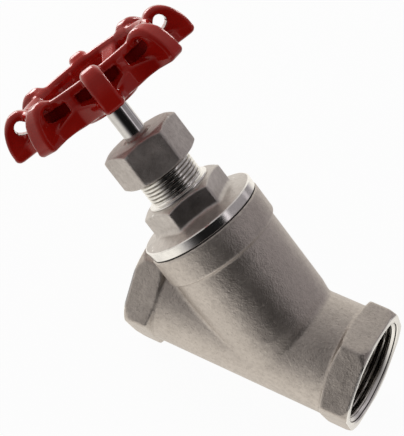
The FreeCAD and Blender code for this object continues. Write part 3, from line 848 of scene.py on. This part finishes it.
def makeStem():
    s = SimpleNamespace(**stem)
    lower = [
        (0.001, s.headBase), (s.head - s.edge, s.headBase), (s.head, s.headBase + s.edge),
        (s.head, s.headTop - s.edge), (s.head - s.edge, s.headTop), (s.shank, s.headTop),
        (s.shank, screwThread["base"]),
    ]
    upper = [
        (s.shank, screwThread["top"]), (s.shaft, s.screwTop + 0.5),
        *[(s.shaft, height) for height in s.shaftRings], (s.shaft, s.hubBase),
    ]
    stud = [(s.stud, s.squareTop), (s.stud, s.top - s.edge), (s.stud - s.edge, s.top), (0.001, s.top)]
    rings = [sectionRing(lambda angle: s.shaft, s.hubBase), sectionRing(squareRadius, s.hubBase),
             sectionRing(squareRadius, s.squareTop), sectionRing(lambda angle: s.stud, s.squareTop)]
    across, side, up = np.array([spot for ring in rings for spot in ring]).T
    turnCos, turnSin = math.cos(layout["wheelTurn"]), math.sin(layout["wheelTurn"])
    square = np.stack([across * turnCos - side * turnSin, across * turnSin + side * turnCos, up], 1)
    points, faces = joinParts([
        turnedShell(lower, s.around), threadWall("stemScrew", screwThread, polishedStem),
        turnedShell(upper, s.around), (square, ringFaces(len(rings), s.around)), turnedShell(stud, s.around)])
    piece = makePiece("polishedStemShaft", leanBack(points), faces, polishedStem)
    weldPiece(piece, 0.00002)
    settle(piece, "spindle", "polished_steel", "stem")


def makeWasher():
    points, faces = turnedShell(washer, 96, closed=True)
    piece = makePiece("wheelWasher", leanBack(points), faces, innerSteel)
    weldPiece(piece)
    settle(piece, "spindle", "turned_steel", "wheel_washer")


makeStem()
makeWasher()
print("stage: stem")

# Handwheel: one quarter is skinned, then Geometry Nodes turn four of them about the stem

wheel = dict(
    base=119.998, top=134.298, bore=25.2, mouth=26.3, mouthFrom=127.0, rimEdge=1.3, wall=27.2, flange=29.6,
    topFlange=3.2, bottomFlange=6.6, halfWidth=3.95, strapEdge=1.5, knobEdge=2.6, knobFrom=132.3,
    knobRise=3.2, flareWidth=7.1, flareFrom=36.5, flareRun=8.5, flarePower=1.7, footTop=6.4, footSlope=0.36,
    footLean=0.94, footFrom=25.6, eyeHalf=6.2, rib=2.1, ribFrom=26.5, hub=14.0, hubBase=115.898,
    hubTop=123.498, hubSlope=0.62, hubMiddle=3.7, hubHalf=3.8, spokeFrom=9.0, spokeTo=26.2, spokeDrop=2.5,
    spokeLean=0.87, spoke=4.0, spokeAt=math.radians(17.0), spokeLow=(9.3, 123.2), spokeHigh=(26.1, 132.8),
    spokeDepth=2.15, square=3.55, windowRadius=(26.5, 28.4), windowHeight=(126.8, 131.2), cell=0.5,
)
lobeOutline = [
    (25.8, 131.5), (26.2, 133.4), (27.1, 134.5), (28.1, 135.4), (29.2, 136.1), (30.4, 136.5), (31.7, 136.6),
    (33.1, 136.45), (34.4, 136.0), (35.5, 135.4), (36.5, 134.6), (37.5, 133.6), (38.4, 132.4),
    (39.2, 131.0), (39.9, 129.5), (40.45, 128.0), (40.9, 126.4), (41.15, 125.0), (41.28, 123.5),
    (41.25, 122.0), (40.9, 121.1), (40.1, 120.3), (39.0, 120.0), (25.8, 120.0),
]
eyeOutline = [
    (26.0, 126.9), (30.5, 127.3), (33.0, 128.1), (34.5, 129.2), (34.8, 130.4), (34.4, 131.8), (33.4, 132.9),
    (32.1, 133.3), (30.9, 132.9), (29.9, 131.9), (29.3, 131.1), (26.0, 131.1),
]


def outlineDistance(u, v, outline):
    shape = u.shape
    u, v = u.ravel(), v.ravel()
    best = np.full(u.shape, 1e9)
    inside = np.zeros(u.shape, bool)
    for (ax, ay), (bx, by) in zip(outline, outline[1:] + outline[:1]):
        ex, ey = bx - ax, by - ay
        share = np.clip(((u - ax) * ex + (v - ay) * ey) / (ex * ex + ey * ey), 0, 1)
        best = np.minimum(best, (u - ax - share * ex) ** 2 + (v - ay - share * ey) ** 2)
        if ay != by:
            inside ^= ((ay > v) != (by > v)) & (u < ax + (v - ay) / (by - ay) * ex)
    return (np.sqrt(best) * np.where(inside, -1, 1)).reshape(shape)


def wheelField(across, side, up):
    w = SimpleNamespace(**wheel)
    radius = radiusOf(across, side)
    angle = np.arctan2(side, across)
    eighth = math.pi / 4
    fold = (angle + eighth / 2) % eighth - eighth / 2
    out, off = radius * np.cos(fold), radius * np.sin(fold)
    # rim: a thin wall with a flange above and below
    inner = w.bore + (w.mouth - w.bore) * np.clip((up - w.mouthFrom) / (w.top - w.mouthFrom), 0, 1) - radius
    wall = overlap(radius - w.wall, inner, w.base + 1 - up, up - w.top + 1.5)
    upper = roundCut(roundCut(radius - w.flange, up - w.top, w.rimEdge), inner, w.rimEdge)
    upper = roundCut(upper, w.top - w.topFlange - up, 0.7)
    lower = roundCut(roundCut(radius - w.flange, w.base - up, 0.8), up - w.base - w.bottomFlange, 1.0)
    solid = roundJoin(roundJoin(wall, upper, 0.8), roundCut(lower, inner, 0.5), 1.1)
    # rib in the middle of each bay
    bay = angle % eighth - eighth / 2
    rib = roundCut(np.abs(radius * np.sin(bay)) - w.rib, radius - w.flange + 0.1, 0.6)
    rib = overlap(rib, w.ribFrom - radius, w.base + 3 - up, up - w.top + 2)
    solid = roundJoin(solid, rib, 0.8)
    # strap, flared foot and eye of each lobe
    lobe = outlineDistance(out, up, lobeOutline)
    edge = w.strapEdge + (w.knobEdge - w.strapEdge) * np.clip((up - w.knobFrom) / w.knobRise, 0, 1)
    strap = roundCut(lobe, np.abs(off) - w.halfWidth, edge)
    flare = w.halfWidth + w.flareWidth * np.clip((w.flareFrom - out) / w.flareRun, 0, 1.3) ** w.flarePower
    slopeTop = w.base + w.footTop - np.clip(out - w.flange, -4, 20) * w.footSlope
    foot = roundCut(roundCut(np.abs(off) - flare, lobe, 1.2), (up - slopeTop) * w.footLean, 0.9)
    foot = overlap(roundCut(foot, w.base - up, 0.6), w.footFrom - out)
    solid = roundJoin(roundJoin(solid, foot, 1.2), strap, 0.9)
    eye = overlap(outlineDistance(out, up, eyeOutline), w.wall - radius, np.abs(off) - w.eyeHalf)
    solid = roundCut(solid, -eye, 0.6)
    # hub and four spokes
    hubSide = w.hub - np.abs(up - w.hubBase - w.hubMiddle) * w.hubSlope
    hub = roundCut(radius - hubSide, np.abs(up - (w.hubBase + w.hubTop) / 2) - w.hubHalf, 0.8)
    quarter = (angle - w.spokeAt + math.pi / 4) % (math.pi / 2) - math.pi / 4
    reach, aside = radius * np.cos(quarter), radius * np.sin(quarter)
    (lowReach, lowTop), (highReach, highTop) = w.spokeLow, w.spokeHigh
    spokeTop = lowTop + (reach - lowReach) * (highTop - lowTop) / (highReach - lowReach)
    middle = (up - spokeTop + w.spokeDrop) * w.spokeLean
    spoke = roundCut(np.abs(aside) - w.spoke, np.abs(middle) - w.spokeDepth, 1.6)
    spoke = overlap(spoke, reach - w.spokeTo, w.spokeFrom - reach)
    solid = roundJoin(solid, roundJoin(hub, spoke, 1.4), 1.0)
    # square hole, drawn in the turned frame of the wheel
    return roundCut(solid, w.square - np.maximum(np.abs(across), np.abs(side)), 0.2)


def makeHandwheel():
    cell = wheel["cell"]
    reach = math.ceil(43 / cell) * cell
    quarterPoints, quarterFaces = skinField(
        wheelField, (-2 * cell, -2 * cell, 114.9), (reach, reach, 138), cell,
        lambda spots: (spots[:, 0] > -1e-6) & (spots[:, 1] > 1e-6))
    quarter = bpy.data.meshes.new("wheelQuarter")
    quarter.from_pydata(quarterPoints.tolist(), [], quarterFaces.tolist())
    points, faces = grow(sectorTree, "wheelSectors", {
        "Count": 4, "Start Angle": layout["wheelTurn"], "Weld Distance": 0.02, "Finish": wheelPaint}, quarter)

    def inWindow(number):  # the rim's wall between the flanges, seen through the lobes' eyes
        middle = points[list(faces[number])].mean(axis=0)
        away = math.hypot(middle[0], middle[1])
        return between(away, wheel["windowRadius"]) and between(middle[2], wheel["windowHeight"])

    piece = makePiece("redHandwheel", leanBack(points), faces, wheelPaint)
    # the window faces take the dull copy of the paint, as painted shade
    addFinish(piece, wheelShadedPocketPaint, inWindow)
    settle(piece, "spindle", "red_paint", "handwheel")
    print("stage: handwheel", len(faces))
    return piece


handwheel = makeHandwheel()

# Pieces that keep their CAD shape get their finish here

plainFinishes = {
    "bonnet_gasket": gasketBlack, "packing_washer": innerSteel, "gland_follower": innerSteel,
    "plug": innerSteel, "plug_trap_nut": innerSteel, "seal_ring": sealWhite, "seal_washer": innerSteel,
    "seal_nut": innerSteel,
}
for name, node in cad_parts.items():
    plainFinish = sealWhite if name.startswith("packing_ring") else plainFinishes.get(name)
    if plainFinish:
        node.data.materials.clear()
        node.data.materials.append(plainFinish)

# Camera, from the photograph

photo = dict(
    width=404, height=436, tilt=0.77118068, swing=-0.49160107, roll=-0.04315164, focal=1326.4296,
    away=523.070, crossing=(292.38985, 336.64332),
)


def placeCamera():
    p = SimpleNamespace(**photo)
    flat = np.array([[1, 0, 0], [0, 0, 1], [0, -1, 0]], float)
    order = ((p.roll, "Z"), (p.tilt, "X"), (p.swing, "Y"))
    turns = [Matrix.Rotation(angle, 3, axis) for angle, axis in order]
    turn = np.array(turns[0] @ turns[1] @ turns[2]) @ flat
    shift = np.array([(p.crossing[0] - p.width / 2) * p.away / p.focal,
                      -(p.crossing[1] - p.height / 2) * p.away / p.focal, -p.away])
    spot = toFrame((-turn.T @ shift)[None])[0]
    lens = addObject("camera", bpy.data.cameras.new("camera"))
    lens.data.sensor_width = 36
    lens.data.lens = p.focal / p.height * 36
    lens.data.clip_start = 0.01
    lens.matrix_world = Matrix.Translation(Vector(spot)) @ Matrix(turn.T.tolist()).to_4x4()
    bpy.context.scene.camera = lens
    return lens


camera = placeCamera()

# Studio: a pale floor, a white surround, soft lamps, and a tent that only reflections see.
# Directions are written as (right, up, near), the way the camera looks at the valve.
# A lamp has a direction, a distance, a size and a power. The tent's steps are brightness by angle in degrees.

studio = {
    "target": (-0.06, 0.0, 0.04), "floorLevel": -0.0231, "floorHalf": 6.0, "floorGlow": 0.96, "fill": 0.34,
    "lamps": [
        ("keyLamp", (-0.50, 0.74, -0.40), 1.2, 0.7, 10.0),
        ("backLamp", (0.62, 0.40, -0.68), 1.2, 0.5, 4.0),
        ("lowLamp", (-0.70, -0.55, 0.35), 1.2, 0.6, 1.0),
    ],
    "paintBoxes": [
        ("leftBox", (-0.56, 0.66, -0.50), 0.95, 0.42, 3.0),
        ("rightBox", (0.47, 0.82, -0.33), 0.95, 0.28, 2.2),
    ],
}
tent = {
    "radius": 1.1, "darkCentre": (0.25, -0.42, 0.87), "tableFrom": (-0.45, -0.75),
    "tableSteps": [
        (12, 0.009), (20, 0.020), (31, 0.06), (37, 0.14), (43, 0.265),
        (49, 0.43), (55, 0.61), (66, 0.86), (76, 0.95), (90, 1.0)],
    "openSteps": [
        (24, 0.010), (32, 0.03), (41, 0.09), (48, 0.17), (56, 0.25),
        (70, 0.37), (90, 0.58), (110, 0.76), (135, 0.95), (150, 1.0)],
    "sideFrom": (41.0, 46.0), "sideTo": (148.0, 120.0), "sideLow": (-0.45, -0.15), "sideHigh": (0.85, 0.55),
    "sideShade": 0.30, "streak": (48.5, 4.5, 0.62), "band": (104.0, 8.0, 0.26), "topFrom": (0.3, 0.8),
    "topNear": (-0.6, -0.2), "topShade": 0.75,
    "dim": (1.0, 0.955, 0.965), "warm": (1.0, 0.965, 0.905), "cool": (1.0, 0.935, 0.97),
}


def makeFloor():
    finish, tree = newFinish("paleFloor")
    seen = tree.nodes.new("ShaderNodeLightPath").outputs["Is Camera Ray"]
    mix = addNode(tree, "ShaderNodeMixShader", [
        mathNode(tree, "MULTIPLY", seen, studio["floorGlow"]),
        addNode(tree, "ShaderNodeBsdfDiffuse", {"Color": (0.8, 0.8, 0.8, 1)}).outputs["BSDF"],
        tree.nodes.new("ShaderNodeEmission").outputs["Emission"]])
    addNode(tree, "ShaderNodeOutputMaterial", [mix.outputs["Shader"]])
    half, level = studio["floorHalf"], studio["floorLevel"]
    corners = [(-half, -half, level), (half, -half, level), (half, half, level), (-half, half, level)]
    mesh = bpy.data.meshes.new("floor")
    mesh.from_pydata(corners, [], [(0, 1, 2, 3)])
    mesh.materials.append(finish)
    floor = addObject("floor", mesh)
    floor.visible_glossy = False


def makeWorld():
    world = bpy.data.worlds.new("studio")
    bpy.context.scene.world = world
    world.use_nodes = True
    tree = world.node_tree
    tree.nodes.clear()
    path = tree.nodes.new("ShaderNodeLightPath").outputs
    mirrored = mathNode(tree, "MAXIMUM", path["Is Glossy Ray"], path["Is Transmission Ray"])
    seen = mathNode(tree, "MAXIMUM", path["Is Camera Ray"], mirrored)
    glow = addNode(tree, "ShaderNodeBackground", {
        "Color": (1, 1, 1, 1), "Strength": spread(tree, seen, 0, 1, studio["fill"], 1.0)})
    addNode(tree, "ShaderNodeOutputWorld", [glow.outputs["Background"]])


def addLamp(name, direction, distance, size, power):
    lamp = addObject(name, bpy.data.lights.new(name, "AREA"))
    lamp.data.size = size
    lamp.data.energy = power
    target = Vector(studio["target"])
    spot = target + camera.matrix_world.to_3x3() @ Vector(direction).normalized() * distance
    aim = (target - spot).to_track_quat("-Z", "Y").to_matrix().to_4x4()
    lamp.matrix_world = Matrix.Translation(spot) @ aim
    lamp.visible_glossy = False
    return lamp


def tentFinish():
    finish, tree = newFinish("tentFinish")
    calc = partial(mathNode, tree)

    def rise(value, limits):
        return spread(tree, value, *limits, kind="SMOOTHSTEP")

    def ridge(value, centre, halfWidth, amount):
        apart = calc("ABSOLUTE", calc("SUBTRACT", value, centre))
        return spread(tree, apart, halfWidth, halfWidth * 0.4, 0, amount, "SMOOTHSTEP")

    def brightness(value, steps):
        ramp = addNode(tree, "ShaderNodeValToRGB", [value])
        stops = ramp.color_ramp.elements
        for angle, shade in steps[2:]:
            stops.new(angle / 180)
        for stop, (angle, shade) in zip(stops, steps):
            stop.position = angle / 180
            stop.color = (shade, shade, shade, 1)
        return ramp.outputs["Color"]

    ray = vectorNode(tree, "NORMALIZE", tree.nodes.new("ShaderNodeTexCoord").outputs["Object"])
    right, up, near = addNode(tree, "ShaderNodeSeparateXYZ", [ray]).outputs
    # dark opening round the camera, with a sharper border towards the table
    centred = vectorNode(tree, "DOT_PRODUCT", ray, Vector(tent["darkCentre"]).normalized())
    away = calc("DIVIDE", calc("MULTIPLY", calc("ARCCOSINE", centred), 180 / math.pi), 180)
    table = rise(up, tent["tableFrom"])
    openShade = brightness(away, tent["openSteps"])
    shade = spread(tree, table, 0, 1, openShade, brightness(away, tent["tableSteps"]))
    # grey ceiling
    ceiling = calc("MULTIPLY", rise(up, tent["topFrom"]), rise(near, tent["topNear"]))
    shade = calc("MULTIPLY", shade, spread(tree, ceiling, 0, 1, 1, tent["topShade"]))
    # grey right wall with one bright gap and one paler band
    turn = calc("MULTIPLY", calc("ARCTAN2", right, near), 180 / math.pi)
    wall = calc("MULTIPLY", rise(turn, tent["sideFrom"]), rise(turn, tent["sideTo"]))
    for limits in (tent["sideLow"], tent["sideHigh"]):
        wall = calc("MULTIPLY", wall, rise(up, limits))
    side = calc("ADD", ridge(turn, *tent["streak"]), ridge(turn, *tent["band"]))
    side = calc("ADD", side, tent["sideShade"])
    shade = calc("MULTIPLY_ADD", wall, calc("SUBTRACT", side, shade), shade)
    tint = mixColour(tree, spread(tree, shade, 0.2, 0.8), tent["dim"], tent["warm"])
    colour = mixColour(tree, wall, tint, tent["cool"])
    glow = addNode(tree, "ShaderNodeEmission", {"Color": colour, "Strength": shade})
    addNode(tree, "ShaderNodeOutputMaterial", [glow.outputs["Emission"]])
    return finish


def makeTent():
    rows, radius = 24, tent["radius"]
    outline = [(math.sin(math.pi * n / rows) * radius + 0.0001, math.cos(math.pi * n / rows) * radius)
               for n in range(rows + 1)]
    points, faces = turnedShell(outline, 2 * rows)
    mesh = bpy.data.meshes.new("reflectionTent")
    mesh.from_pydata(points.tolist(), [], faces)
    mesh.materials.append(tentFinish())
    shell = addObject("reflectionTent", mesh)
    shell.matrix_world = Matrix.Translation(Vector(studio["target"])) @ camera.matrix_world.to_3x3().to_4x4()
    shell.visible_camera = False
    shell.visible_diffuse = False
    shell.visible_shadow = False
    shell.visible_transmission = False


makeFloor()
makeWorld()
for lampSizes in studio["lamps"]:
    addLamp(*lampSizes)
paintedPieces = bpy.data.collections.new("paintedPieces")
paintedPieces.objects.link(handwheel)
for boxSizes in studio["paintBoxes"]:  # soft boxes that light only the painted wheel and shine in it
    paintBox = addLamp(*boxSizes)
    paintBox.visible_glossy = True
    paintBox.light_linking.receiver_collection = paintedPieces
makeTent()
print("stage: camera and studio")
